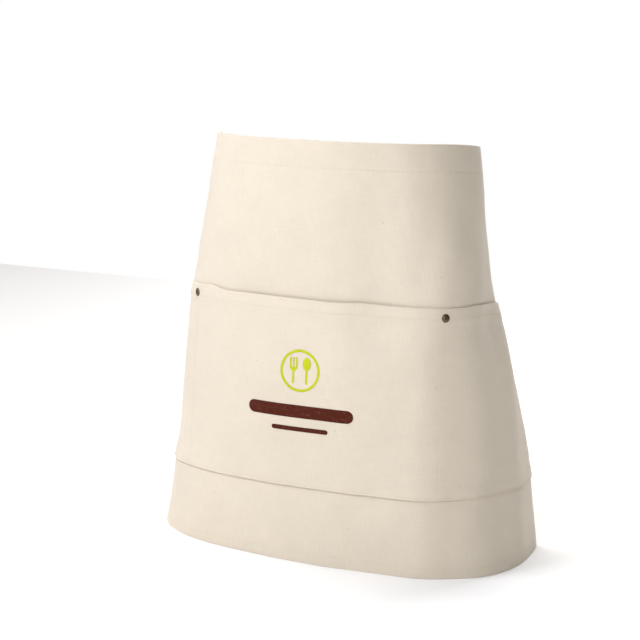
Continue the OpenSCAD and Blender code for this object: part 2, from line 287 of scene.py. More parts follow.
def relief(s, h):
    """How far the standing cloth departs from its smooth shape, the same for all layers."""
    cloth = settings().cloth
    s, h = np.clip(s, -HALF_W, HALF_W), np.clip(h, 0, LENGTH)
    height = cloth.unevenness * value_noise(s, 0.45 * h, 0.062, 3)
    height = height + 0.45 * cloth.unevenness * value_noise(s, 0.7 * h, 0.027, 4)
    height = height + 0.13 * cloth.unevenness * value_noise(s, h, 0.011, 5)
    for start, end, half_width, rise in FOLDS:
        height = height + fold_height(s, h, start, end, half_width, rise)
    for distance, along, pull, seed in seam_distances(s, h):
        near = pull * np.exp(-distance / (7 * MM))
        height = height + near * cloth.pucker * value_noise(along, 0 * along, 0.0085, seed)
        height = height - 0.2 * MM * pull * np.exp(-(distance / (1.1 * MM)) ** 2)
    return height


def drop(s):
    """How much lower the waist edge lies than at the front."""
    side = np.minimum(np.abs(s), HALF_W)
    past = np.maximum(0, side - LEVEL_SIDE)
    dip = HIP_DIP * ramp(-s, 0.140, 0.180) * (1 - ramp(-s, 0.215, 0.275))
    return EDGE_DROP * (past / (HALF_W - LEVEL_SIDE)) ** 2 + dip


def wander(s, h):
    """How far the cloth rises and dips along the pocket's mouth."""
    step = 1.5 * MM * ramp(s, -0.128, -0.119) * (1 - ramp(s, -0.112, -0.088))
    near = np.exp(-((h - POCKET_TOP) / (26 * MM)) ** 2)
    return near * (step + 0.9 * MM * value_noise(s, 0 * s, 0.030, 31))


def place(s, h, off):
    """Points in space for places on the cloth."""
    s, h, off = np.broadcast_arrays(np.asarray(s, float), np.asarray(h, float), np.asarray(off, float))
    level = h / LENGTH
    angle = np.sign(s) * look_up(ANGLES, level * (len(LEVELS) - 1), np.abs(s) / ROUND_STEP)
    points, out = outline(angle, level)
    points[..., 2] = level * (LENGTH - drop(s)) + wander(s, h)
    return points + (off + relief(s, h))[..., None] * out


def way_out(s, h):
    level = np.asarray(h, float) / LENGTH
    angle = np.sign(s) * look_up(ANGLES, level * (len(LEVELS) - 1), np.abs(np.asarray(s, float)) / ROUND_STEP)
    return outline(angle, level)[1]


# ---- how far each layer stands out ----
def doubled(h):
    """1 where the pocket's cloth is doubled at its mouth and its foot."""
    mouth = ramp(h, POCKET_TOP - MOUTH_HEM - 7 * MM, POCKET_TOP - MOUTH_HEM + 0.5 * MM)
    foot = 1 - ramp(h, POCKET_FOOT + FOOT_FOLD - 0.5 * MM, POCKET_FOOT + FOOT_FOLD + 9 * MM)
    return np.maximum(mouth, foot)


def puff(s, h):
    """How far the pocket's compartments stand off the panel."""
    cloth = settings().cloth
    side = np.abs(s)
    up = np.clip((h - POCKET_FOOT) / (POCKET_TOP - POCKET_FOOT), 0, 1)
    rise = ramp(up, 0, 0.6)
    # The rivets pinch the mouth, and the cloth eases away from that pinch further down.
    pinched = ramp(h, 0.170, POCKET_TOP)
    middle = np.clip(np.cos(np.pi / 2 * np.clip(side / RIVET_S, 0, 1)), 0, 1) ** mix(1.9, 0.8, pinched)
    outer = np.sin(np.pi * np.clip((side - RIVET_S) / (HALF_W - RIVET_S), 0, 1)) ** mix(1.9, 1.0, pinched)
    middle_fullness = cloth.middle_puff * mix(1, 0.32, pinched)
    middle_fullness = middle_fullness * (1 + 0.3 * value_noise(s, 0 * s, 0.05, 21) * up)
    side_fullness = cloth.side_puff * mix(1, 0.12, pinched)
    return rise * np.where(side < RIVET_S, middle_fullness * middle, side_fullness * outer)


def pocket_middle(s, h):
    """Offset of the middle of the pocket's outer layer."""
    lifted = FOOT_LIFT * (1 - ramp(h, POCKET_FOOT, POCKET_FOOT + 1.6 * MM))
    return LAY * (1 + doubled(h)) + puff(s, h) + lifted


def pocket_face(s, h):
    return pocket_middle(s, h) + settings().cloth.cloth_thickness / 2


def panel_face(s, h):
    return 0 * s + settings().cloth.cloth_thickness / 2


def corner(s):
    """1 where the band or the hem is turned over the side hem."""
    return ramp(np.abs(s), HALF_W - 0.0125, HALF_W - 0.0095)


def inner_face(s, h):
    """Offset of the innermost side of the cloth, with all that is turned in there."""
    layers = np.where((h > LENGTH - 0.028) | (h < 0.011), 1 + 2 * corner(s), corner(s))
    in_pocket = (h > POCKET_FOOT) & (h < POCKET_TOP)
    layers = np.where(in_pocket, corner(s) * (2 + doubled(h)), layers)
    return -layers * LAY - settings().cloth.cloth_thickness / 2


# ---- meshes from grids of points ----
def spaced(start, end, marks=()):
    """Places from start to end, closer together near the marks."""
    cloth = settings().cloth
    line = [start]
    while line[-1] < end:
        near = min((abs(line[-1] - mark) for mark in marks), default=1)
        share = min(1, max(0, near / (5 * MM) - 0.6))
        line.append(line[-1] + mix(cloth.fine_grid, cloth.grid, share))
    line = np.array(line)
    return start + (line - start) * (end - start) / (line[-1] - start)


class TurnedLine:
    """A line across a piece of cloth whose ends are turned back behind it.

    place is the distance along the front layer, angle how far round the turn (0 in front, pi behind),
    lean the part of the way out of the cloth that points along the line, out the part that points away
    from the cloth behind, and flat the distance along the cloth itself.
    """

    def __init__(self, low, high, low_turn, high_turn, marks=(), bend=LAY / 2):
        turn = np.linspace(0, np.pi, 8)[1:-1]
        front = spaced(low + bend, high - bend, marks)
        behind_low = spaced(low + bend, low + low_turn)[::-1]
        behind_high = spaced(-(high - bend), -(high - high_turn)) * -1
        back_low, back_high, none = np.full_like(behind_low, 1), np.full_like(behind_high, 1), 0 * front
        self.angle = np.concatenate([np.pi * back_low, turn[::-1], none, turn, np.pi * back_high])
        self.place = np.concatenate([
            behind_low, low + bend - bend * np.sin(turn[::-1]), front,
            high - bend + bend * np.sin(turn), behind_high])
        side = np.concatenate([-back_low, 0 * turn - 1, none, 0 * turn + 1, back_high])
        self.turned = (1 - np.cos(self.angle)) / 2
        self.lean = side * np.sin(self.angle)
        self.out = np.cos(self.angle)
        steps = np.hypot(np.diff(self.place), bend * np.diff(self.out))
        run = np.concatenate([[0], np.cumsum(steps)])
        self.flat = run - run[len(behind_low) + len(turn)] + low + bend
        self.length = run[-1]


def slab(name, outer, inner, flat):
    """A closed sheet from two grids of points. flat is the grid of places on the cut cloth, in metres."""
    rows, columns = outer.shape[:2]
    count = rows * columns
    index = np.arange(count).reshape(rows, columns)
    a, b, c, d = index[:-1, :-1], index[:-1, 1:], index[1:, 1:], index[1:, :-1]
    front = np.stack([a, b, c, d], -1).reshape(-1, 4)
    back = front[:, ::-1] + count
    edge = np.concatenate([index[0, :], index[1:, -1], index[-1, -2::-1], index[-2:0:-1, 0]])
    after = np.roll(edge, -1)
    rim = np.stack([edge, edge + count, after + count, after], -1)
    points = np.concatenate([outer.reshape(-1, 3), inner.reshape(-1, 3)])
    uv = np.concatenate([flat.reshape(-1, 2)] * 2)
    return mesh_piece(name, points, np.concatenate([front, back, rim]), uv)


def mesh_piece(name, points, faces, uv):
    """An object of that mesh at the origin, with the map of its flat cloth."""
    mesh = bpy.data.meshes.new(name)
    mesh.from_pydata(points.tolist(), [], faces.tolist())
    mesh.update()
    corners = np.zeros(len(mesh.loops), np.int32)
    mesh.loops.foreach_get("vertex_index", corners)
    layer = mesh.uv_layers.new(name="cloth")
    layer.data.foreach_set("uv", uv[corners].astype(np.float32).ravel())
    mesh.shade_smooth()
    piece = bpy.data.objects.new(name, mesh)
    bpy.context.scene.collection.objects.link(piece)
    return piece


def folded_cloth(name, across, up, stand):
    """A closed sheet on the apron's surface. stand gives the offset of its middle."""
    half = settings().cloth.cloth_thickness / 2
    s, h = across.place[None, :], up.place[:, None]
    lean_s = across.lean[None, :] + 0 * h
    lean_h = up.lean[:, None] * across.out[None, :]
    out = up.out[:, None] * across.out[None, :]
    middle = stand(s + 0 * h, h + 0 * s, across.turned[None, :], up.turned[:, None])
    outer = place(s + half * lean_s, h + half * lean_h, middle + half * out)
    inner = place(s - half * lean_s, h - half * lean_h, middle - half * out)
    flat = np.stack(np.broadcast_arrays(across.flat[None, :], up.flat[:, None]), -1)
    return slab(name, outer, inner, flat)


def finish_piece(piece, body, slot, material, *nodes):
    """Gives a piece its material and its place in the frame."""
    piece.data.materials.clear()
    piece.data.materials.append(material)
    if body:
        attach(piece, body)
    if nodes:
        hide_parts(*nodes)
    return piece


# ---- materials ----
class Finish:
    """A material made of nodes."""

    def __init__(self, name):
        self.material = bpy.data.materials.new(name)
        self.material.use_nodes = True
        self.nodes = self.material.node_tree.nodes
        self.links = self.material.node_tree.links
        self.nodes.clear()

    def add(self, kind, sockets=None, **options):
        node = self.nodes.new("ShaderNode" + kind)
        for key, value in options.items():
            setattr(node, key, value)
        for key, value in (sockets or {}).items():
            if isinstance(value, bpy.types.NodeSocket):
                self.links.new(value, node.inputs[key])
            else:
                node.inputs[key].default_value = value
        return node

    def math(self, operation, *values):
        return self.add("Math", dict(enumerate(values)), operation=operation).outputs[0]

    def cloth_map(self):
        return self.add("UVMap", uv_map="cloth").outputs[0]

    def object_map(self):
        return self.add("TexCoord").outputs["Object"]

    def noise(self, where, stretch, detail=2.0, roughness=0.5):
        """Noise from 0 to 1. stretch is the number of its cells in a metre, each way."""
        mapped = self.add("Mapping", {"Vector": where, "Scale": stretch}).outputs[0]
        return self.add("TexNoise", {
            "Vector": mapped, "Scale": 1.0, "Detail": detail, "Roughness": roughness}).outputs["Fac"]

    def levels(self, value, low, high, out_low=0.0, out_high=1.0):
        """Spreads values from low to high over out_low to out_high, and clips them."""
        spread = self.add("MapRange", {
            "Value": value, "From Min": low, "From Max": high, "To Min": out_low, "To Max": out_high})
        return spread.outputs[0]

    def blend(self, share, first, second, mode="MIX"):
        node = self.add("Mix", data_type="RGBA", blend_type=mode)
        for socket, value in ((0, share), (6, first), (7, second)):
            if isinstance(value, bpy.types.NodeSocket):
                self.links.new(value, node.inputs[socket])
            else:
                node.inputs[socket].default_value = value
        return node.outputs[2]

    def bump(self, height, distance, strength=1.0, onto=None):
        sockets = {"Height": height, "Distance": distance, "Strength": strength}
        if onto is not None:
            sockets["Normal"] = onto
        return self.add("Bump", sockets).outputs[0]

    def surface(self, **sockets):
        """Ends the material in one shader and returns the material."""
        shader = self.add("BsdfPrincipled", {key.replace("_", " "): value for key, value in sockets.items()})
        output = self.add("OutputMaterial")
        self.links.new(shader.outputs[0], output.inputs[0])
        return self.material


def shade(colour, factor):
    return (*[min(1, part * factor) for part in colour], 1.0)


THREAD_PITCH = 0.66 * MM      # from one thread of the weave to the next


def plain_weave(finish, where, pitch):
    """Height from -1 to 1 of threads that pass over and under each other."""
    wander = finish.noise(where, (90, 90, 90), 3.0)
    shifted = finish.add("VectorMath", {0: where}, operation="ADD")
    offset = finish.add("VectorMath", {0: (0.0012, 0.0012, 0.0)}, operation="SCALE")
    finish.links.new(wander, offset.inputs["Scale"])
    finish.links.new(offset.outputs[0], shifted.inputs[1])
    split = finish.add("SeparateXYZ", {0: shifted.outputs[0]})
    turn = math.pi / pitch
    across = finish.math("SINE", finish.math("MULTIPLY", split.outputs[0], turn))
    along = finish.math("SINE", finish.math("MULTIPLY", split.outputs[1], turn))
    return finish.math("MULTIPLY", across, along)


def slubs(finish, where):
    """Thick and thin places in the threads each way, from 0 to 1."""
    warp = finish.noise(where, (1150, 70, 1), 1.0)
    weft = finish.noise(where, (60, 1050, 1), 1.0)
    return finish.math("MULTIPLY", finish.math("ADD", warp, weft), 0.5)


def canvas_finish(name, colour):
    """Unbleached plain-weave cotton: slubs, a few seed flecks, a soft nap and mottling."""
    finish = Finish(name)
    where = finish.cloth_map()
    weave = plain_weave(finish, where, THREAD_PITCH)
    slub = slubs(finish, where)
    mottle = finish.noise(where, (26, 26, 1), 3.0, 0.6)
    cloud = finish.noise(where, (7, 7, 1), 2.0)
    light, dark = shade(colour, 1.025), shade(colour, 0.965)
    threads = finish.blend(finish.levels(slub, 0.33, 0.67), dark, light)
    crossings = finish.levels(weave, -1, 1, 0.965, 1.012)
    toned = finish.blend(1.0, threads, crossings, "MULTIPLY")
    patchy = finish.blend(
        1.0, toned, finish.math("MULTIPLY", finish.levels(mottle, 0.3, 0.7, 0.978, 1.015),
                                finish.levels(cloud, 0.3, 0.7, 0.985, 1.01)), "MULTIPLY")
    cells = finish.add("TexVoronoi", {
        "Vector": finish.add("Mapping", {"Vector": where, "Scale": (1, 0.6, 1)}).outputs[0],
        "Scale": 210.0, "Randomness": 1.0})
    chosen = finish.add("SeparateColor", {0: cells.outputs["Color"]})
    rare = finish.math("GREATER_THAN", chosen.outputs[0], 0.982)
    speck = finish.levels(cells.outputs["Distance"], 0.10, 0.17, 1.0, 0.0)
    flecks = finish.math("MULTIPLY", finish.math("MULTIPLY", rare, speck), 0.26)
    seed = (colour[0] * 0.42, colour[1] * 0.33, colour[2] * 0.24, 1.0)
    coloured = finish.blend(flecks, patchy, seed)
    height = finish.math("ADD", finish.math("MULTIPLY", weave, 0.5), finish.math("MULTIPLY", slub, 1.6))
    fine = finish.bump(height, 0.16 * MM, 0.4)
    creased = finish.bump(finish.noise(where, (120, 85, 1), 4.0, 0.6), 0.5 * MM, 0.4, fine)
    return finish.surface(
        Base_Color=coloured, Roughness=finish.levels(slub, 0.3, 0.7, 0.86, 0.97), Specular_IOR_Level=0.22,
        Sheen_Weight=0.12, Sheen_Roughness=0.6, Normal=creased)


def tape_finish(name, colour):
    """Herringbone cotton tape. The map's first part runs across the tape and the second along it."""
    finish = Finish(name)
    where = finish.cloth_map()
    split = finish.add("SeparateXYZ", {0: where})
    stripe = 6.2 * MM
    zigzag = finish.math("PINGPONG", split.outputs[0], stripe / 2)
    slope = finish.math("ADD", split.outputs[1], finish.math("MULTIPLY", zigzag, 1.15))
    rib = finish.math("SINE", finish.math("MULTIPLY", slope, 2 * math.pi / (1.05 * MM)))
    thread = finish.noise(where, (1500, 260, 1), 1.0)
    mottle = finish.noise(where, (40, 22, 1), 2.0)
    tone = finish.math("ADD", finish.math("MULTIPLY", rib, 0.35), finish.math("MULTIPLY", thread, 0.9))
    ribs = finish.blend(finish.levels(tone, 0.0, 0.9), shade(colour, 0.88), shade(colour, 1.06))
    coloured = finish.blend(1.0, ribs, finish.levels(mottle, 0.3, 0.7, 0.965, 1.02), "MULTIPLY")
    normal = finish.bump(tone, 0.2 * MM, 0.8)
    return finish.surface(
        Base_Color=coloured, Roughness=finish.levels(thread, 0.3, 0.7, 0.84, 0.95), Specular_IOR_Level=0.22,
        Sheen_Weight=0.12, Sheen_Roughness=0.6, Normal=normal)


def thread_finish(name, colour):
    """Two-ply cotton thread, twisted. The map runs along the thread and then round it."""
    finish = Finish(name)
    where = finish.cloth_map()
    split = finish.add("SeparateXYZ", {0: where})
    twist = finish.math("ADD", finish.math("MULTIPLY", split.outputs[0], 2 * math.pi / (0.9 * MM)),
                        finish.math("MULTIPLY", split.outputs[1], 4 * math.pi))
    ply = finish.math("SINE", twist)
    fuzz = finish.noise(finish.object_map(), (900, 900, 900), 2.0)
    coloured = finish.blend(finish.levels(ply, -1, 1), shade(colour, 0.86), shade(colour, 1.06))
    toned = finish.blend(1.0, coloured, finish.levels(fuzz, 0.3, 0.7, 0.95, 1.04), "MULTIPLY")
    return finish.surface(
        Base_Color=toned, Roughness=finish.levels(fuzz, 0.3, 0.7, 0.7, 0.85), Specular_IOR_Level=0.3,
        Normal=finish.bump(finish.math("ADD", ply, fuzz), 0.08 * MM, 0.7))


def brass_finish(name, colour):
    """Aged brass: dark and dull in its hollows, rubbed brighter on its edges, with fine scratches."""
    finish = Finish(name)
    where = finish.object_map()
    grain = finish.noise(where, (2600, 2600, 320), 2.0)
    stain = finish.noise(where, (330, 330, 330), 3.0, 0.6)
    rubbed = finish.levels(
        finish.add("NewGeometry").outputs["Pointiness"], 0.5, 0.56)
    worn = finish.math("MULTIPLY", rubbed, finish.levels(stain, 0.3, 0.6))
    dark = (*[part * 0.55 for part in colour], 1.0)
    aged = finish.blend(finish.levels(stain, 0.35, 0.7), dark, (*colour, 1.0))
    bright = (min(1, colour[0] * 2.4), min(1, colour[1] * 2.2), min(1, colour[2] * 1.8), 1.0)
    return finish.surface(
        Base_Color=finish.blend(worn, aged, bright), Metallic=1.0,
        Roughness=finish.levels(stain, 0.3, 0.7, 0.34, 0.55),
        Normal=finish.bump(grain, 0.03 * MM, 0.5))


def ink_finish(name, colour):
    """Screen-print ink: a thin matt film that follows the weave and thins on its high threads."""
    finish = Finish(name)
    where = finish.cloth_map()
    weave = plain_weave(finish, where, THREAD_PITCH)
    slub = slubs(finish, where)
    patch = finish.noise(where, (220, 220, 1), 3.0)
    thin = finish.math("ADD", finish.math("MULTIPLY", slub, 1.3), finish.math("MULTIPLY", patch, 0.5))
    paler = (*[min(1, mix(part, 0.6, 0.07)) for part in colour], 1.0)
    coloured = finish.blend(finish.levels(thin, 0.93, 1.2), shade(colour, 1.0), paler)
    height = finish.math("ADD", finish.math("MULTIPLY", weave, 0.5), finish.math("MULTIPLY", slub, 1.6))
    return finish.surface(
        Base_Color=coloured, Roughness=finish.levels(patch, 0.3, 0.7, 0.72, 0.86), Specular_IOR_Level=0.12,
        Normal=finish.bump(height, 0.12 * MM, 0.6))


def label_finish(name, colour):
    """Blank woven satin: fine ribs across the label and a slight gloss."""
    finish = Finish(name)
    where = finish.cloth_map()
    split = finish.add("SeparateXYZ", {0: where})
    rib = finish.math("SINE", finish.math("MULTIPLY", split.outputs[1], 2 * math.pi / (0.5 * MM)))
    float_thread = finish.noise(where, (2200, 300, 1), 1.0)
    coloured = finish.blend(finish.levels(float_thread, 0.3, 0.7), shade(colour, 0.93), shade(colour, 1.05))
    return finish.surface(
        Base_Color=coloured, Roughness=finish.levels(float_thread, 0.3, 0.7, 0.42, 0.56),
        Normal=finish.bump(finish.math("ADD", rib, float_thread), 0.05 * MM, 0.6))


MADE = {}


def material(name):
    """One of the apron's finishes, made once."""
    colour = settings().colour
    if name not in MADE:
        MADE[name] = {
            "canvas": lambda: canvas_finish("canvas", colour.canvas),
            "tape": lambda: tape_finish("tie_tape", colour.tape),
            "thread": lambda: thread_finish("sewing_thread", colour.thread),
            "brass": lambda: brass_finish("aged_brass", colour.brass),
            "lime": lambda: ink_finish("lime_ink", colour.lime),
            "brown": lambda: ink_finish("brown_ink", colour.brown),
            "label": lambda: label_finish("satin_label", colour.label),
        }[name]()
    return MADE[name]


# ---- the cloth pieces ----
def panel_columns(bend=LAY / 2, reach=0.0):
    marks = (-SIDE_SEAM_S, -RIVET_S, RIVET_S, SIDE_SEAM_S)
    return TurnedLine(-HALF_W - reach, HALF_W + reach, 0.010, 0.010, marks, bend)


class APRON_OT_main_cloth(bpy.types.Operator):
    """Cut the main cloth and turn in its waist band, its bottom hem and its side hems"""

    bl_idname = "apron.main_cloth"
    bl_label = "Main cloth"

    def execute(self, context):
        across = panel_columns()
        half = settings().cloth.cloth_thickness / 2
        marks = (HEM_SEAM_H, FOOT_SEAM_H, MOUTH_SEAM_H, WAIST_SEAM_H)
        up = TurnedLine(half, LENGTH - half, 0.011, 0.028, marks)

        def stand(s, h, side_turn, end_turn):
            stack = -LAY * (1 + 2 * corner(s))
            return end_turn * stack - LAY * side_turn * (1 - 2 * end_turn)

        cloth = folded_cloth("main_cloth", across, up, stand)
        finish_piece(cloth, "apron", "canvas", material("canvas"),
                     "body_panel", "waist_hem", "bottom_hem", "side_hem_left", "side_hem_right")
        return {"FINISHED"}


class APRON_OT_pocket(bpy.types.Operator):
    """Lay the pocket on the main cloth, with its mouth hemmed and its foot turned under"""

    bl_idname = "apron.pocket"
    bl_label = "Pocket"

    def execute(self, context):
        across = panel_columns(1.2 * MM, 0.8 * MM)
        up = TurnedLine(POCKET_FOOT, POCKET_TOP, FOOT_FOLD, MOUTH_HEM, (FOOT_SEAM_H, MOUTH_SEAM_H))

        def stand(s, h, side_turn, end_turn):
            front = pocket_middle(s, h) - end_turn * LAY
            behind = -LAY * (2 + doubled(h)) + end_turn * LAY
            return mix(front, behind, side_turn)

        cloth = folded_cloth("pocket_cloth", across, up, stand)
        finish_piece(cloth, "apron", "canvas", material("canvas"),
                     "pocket_panel", "pocket_mouth_hem", "pocket_foot_fold")
        return {"FINISHED"}


# ---- rivets ----
def deselect():
    if bpy.context.mode != "OBJECT":
        bpy.ops.object.mode_set(mode="OBJECT")
    bpy.ops.object.select_all(action="DESELECT")


def select_faces(piece, keep):
    """Selects the faces for which keep says yes, in edit mode."""
    bpy.ops.object.mode_set(mode="OBJECT")
    for polygon in piece.data.polygons:
        polygon.select = keep(polygon)
    for edge in piece.data.edges:
        edge.select = False
    for vertex in piece.data.vertices:
        vertex.select = False
    for polygon in piece.data.polygons:
        if polygon.select:
            for vertex in polygon.vertices:
                piece.data.vertices[vertex].select = True
    bpy.ops.object.mode_set(mode="EDIT")
    bpy.ops.mesh.select_mode(type="FACE")


def top_face(piece):
    top = max(polygon.center.z for polygon in piece.data.polygons)
    select_faces(piece, lambda polygon: polygon.center.z > top - 1e-6 and polygon.normal.z > 0.9)


def raise_ring(rise, shrink):
    """Draws the selected face up and in, as one step of a dome."""
    bpy.ops.mesh.extrude_region_move(TRANSFORM_OT_translate={"value": (0, 0, rise)})
    bpy.ops.transform.resize(value=(shrink, shrink, 1))


def disc(name, radius, height, base):
    deselect()
    bpy.ops.mesh.primitive_cylinder_add(
        vertices=40, radius=radius, depth=height, location=(0, 0, base + height / 2))
    piece = bpy.context.active_object
    piece.name = piece.data.name = name
    bpy.ops.object.transform_apply(location=True, rotation=True, scale=True)
    bpy.ops.object.mode_set(mode="EDIT")
    return piece


def round_edges(piece, width, segments):
    bpy.ops.object.mode_set(mode="OBJECT")
    bevel = piece.modifiers.new("bevel", "BEVEL")
    bevel.width = width
    bevel.segments = segments
    bevel.limit_method = "ANGLE"
    bevel.angle_limit = math.radians(38)
    bpy.ops.object.modifier_apply(modifier=bevel.name)
    bpy.ops.object.shade_smooth_by_angle(angle=math.radians(40))


def rivet_cap():
    """A domed cap with a rolled rim and a shallow dimple in its middle."""
    radius = CAP_D / 2
    piece = disc("rivet_cap_pair", radius, 0.55 * MM, 0)
    top_face(piece)
    bpy.ops.mesh.inset(thickness=0.55 * MM, depth=0.0)
    raise_ring(-0.16 * MM, 0.97)
    bpy.ops.mesh.inset(thickness=0.22 * MM, depth=0.0)
    for rise, shrink in ((0.42, 0.95), (0.34, 0.88), (0.24, 0.80), (0.12, 0.68)):
        raise_ring(rise * MM, shrink)
    raise_ring(-0.10 * MM, 0.72)
    raise_ring(-0.14 * MM, 0.50)
    round_edges(piece, 0.13 * MM, 3)
    return piece


def rivet_washer():
    """A flat backing washer with a raised collar and the peened end of the post."""
    piece = disc("rivet_washer_pair", 4.75 * MM, 0.5 * MM, 0)
    top_face(piece)
    bpy.ops.mesh.inset(thickness=1.9 * MM, depth=0.0)
    raise_ring(0.35 * MM, 0.93)
    bpy.ops.mesh.inset(thickness=0.5 * MM, depth=0.0)
    raise_ring(-0.3 * MM, 0.98)
    bpy.ops.mesh.inset(thickness=0.15 * MM, depth=0.0)
    raise_ring(0.28 * MM, 0.9)
    raise_ring(0.08 * MM, 0.6)
    round_edges(piece, 0.1 * MM, 3)
    return piece


def at_rivets(piece, off, facing):
    """Puts one copy of a fitting at each rivet, joined as one piece."""
    parts = []
    for side in (-1, 1):
        s = np.array([side * RIVET_S])
        h = np.array([RIVET_H])
        reach = CAP_D / 3
        centre = Vector(place(s, h, off(s, h))[0])
        across = place(s + reach, h, off(s + reach, h)) - place(s - reach, h, off(s - reach, h))
        up = place(s, h + reach, off(s, h + reach)) - place(s, h - reach, off(s, h - reach))
        out = Vector(np.cross(across, up)[0]).normalized() * facing
        part = piece if side < 0 else piece.copy()
        if side > 0:
            part.data = piece.data.copy()
            bpy.context.scene.collection.objects.link(part)
        part.matrix_world = Matrix.Translation(centre) @ out.to_track_quat("Z", "Y").to_matrix().to_4x4()
        parts.append(part)
    deselect()
    for part in parts:
        part.select_set(True)
    bpy.context.view_layer.objects.active = piece
    bpy.ops.object.join()
    bpy.ops.object.transform_apply(location=True, rotation=True, scale=True)
    return piece


class APRON_OT_rivets(bpy.types.Operator):
    """Fit the rivet caps and washers, and age the posts between them"""

    bl_idname = "apron.rivets"
    bl_label = "Rivets"

    def execute(self, context):
        press = 0.25 * MM
        caps = at_rivets(rivet_cap(), lambda s, h: pocket_face(s, h) - press, 1)
        finish_piece(caps, "apron", "rivet_metal", material("brass"), "rivet_caps")
        washers = at_rivets(rivet_washer(), lambda s, h: inner_face(0 * s, h) + press, -1)
        finish_piece(washers, "apron", "rivet_metal", material("brass"), "rivet_washers")
        posts = frame["nodes"]["rivet_posts"]
        posts.data.materials.clear()
        posts.data.materials.append(material("brass"))
        return {"FINISHED"}


# ---- stitching ----
def stitch_form():
    """One stitch: a short thread whose ends bend down into the cloth. Points, faces and map."""
    thread = settings().thread
    deselect()
    bpy.ops.mesh.primitive_uv_sphere_add(
        segments=8, ring_count=6, radius=0.5, rotation=(0, math.pi / 2, 0))
    form = bpy.context.active_object
    bpy.ops.object.transform_apply(location=True, rotation=True, scale=True)
    points = np.array([vertex.co for vertex in form.data.vertices])
    faces = [list(polygon.vertices) for polygon in form.data.polygons]
    bpy.data.objects.remove(form)
    along = np.sign(points[:, 0]) * np.abs(2 * points[:, 0]) ** 0.8 / 2
    girth = np.sqrt(np.maximum(0, 0.25 - points[:, 0] ** 2))
    fuller = np.where(girth > 1e-6, (1 - np.abs(2 * along) ** 3) ** 0.5 * 0.5 / np.maximum(girth, 1e-6), 0)
    x = along * thread.stitch_length
    y = points[:, 1] * fuller * thread.thread_thickness
    z = points[:, 2] * fuller * thread.thread_thickness * 0.85
    z = z + (0.2 - 0.75 * np.abs(2 * along) ** 2.5) * thread.thread_thickness
    turn = np.arctan2(points[:, 2], points[:, 1]) / (2 * np.pi)
    return np.stack([x, y, z], -1), faces, np.stack([x, turn], -1)


def seam(start, end, off, facing=1):
    """Centres and ways of the stitches along a straight seam from one place on the cloth to another."""
    pitch = settings().thread.stitch_pitch
    start, end = np.array(start), np.array(end)
    count = max(2, round(np.linalg.norm(end - start) / pitch))
    share = (np.arange(count) + 0.5) / count
    s, h = mix(start[0], end[0], share), mix(start[1], end[1], share)
    step = (end - start) / np.linalg.norm(end - start) * 0.5 * MM
    centre = place(s, h, off(s, h))
    ahead = place(s + step[0], h + step[1], off(s + step[0], h + step[1]))
    behind = place(s - step[0], h - step[1], off(s - step[0], h - step[1]))
    along = ahead - behind
    along /= np.linalg.norm(along, axis=1, keepdims=True)
    out = way_out(s, h) * facing
    out -= np.sum(out * along, 1, keepdims=True) * along
    out /= np.linalg.norm(out, axis=1, keepdims=True)
    return centre, along, np.cross(out, along), out


def stitching(name, seams, *nodes):
    """All the stitches of some seams as one piece."""
    form, form_faces, form_uv = stitch_form()
    rng = np.random.default_rng(len(name))
    points, faces, uv, used = [], [], [], 0
    for centre, along, side, out in seams:
        tilt = rng.normal(0, 0.045, len(centre))[:, None]
        along, side = along + tilt * side, side - tilt * along
        size = rng.normal(1, 0.04, (len(centre), 1, 1))
        local = form[None] * size
        stitches = (centre[:, None] + local[..., :1] * along[:, None]
                    + local[..., 1:2] * side[:, None] + local[..., 2:] * out[:, None])
        points.append(stitches.reshape(-1, 3))
        for index in range(len(centre)):
            first = used + index * len(form)
            faces += [[first + vertex for vertex in face] for face in form_faces]
            uv.append(form_uv + [index * settings().thread.stitch_pitch, 0])
        used += len(centre) * len(form)
    mesh = bpy.data.meshes.new(name)
    mesh.from_pydata(np.concatenate(points).tolist(), [], faces)
    corners = np.zeros(len(mesh.loops), np.int32)
    mesh.loops.foreach_get("vertex_index", corners)
    mesh.uv_layers.new(name="cloth").data.foreach_set(
        "uv", np.concatenate(uv)[corners].astype(np.float32).ravel())
    mesh.shade_smooth()
    piece = bpy.data.objects.new(name, mesh)
    bpy.context.scene.collection.objects.link(piece)
    return finish_piece(piece, "apron", "thread", material("thread"), *nodes)


def both_sides(start, end, face):
    """A seam's stitches on the face of the cloth and on its inner side."""
    return [seam(start, end, face), seam(start, end, inner_face, -1)]


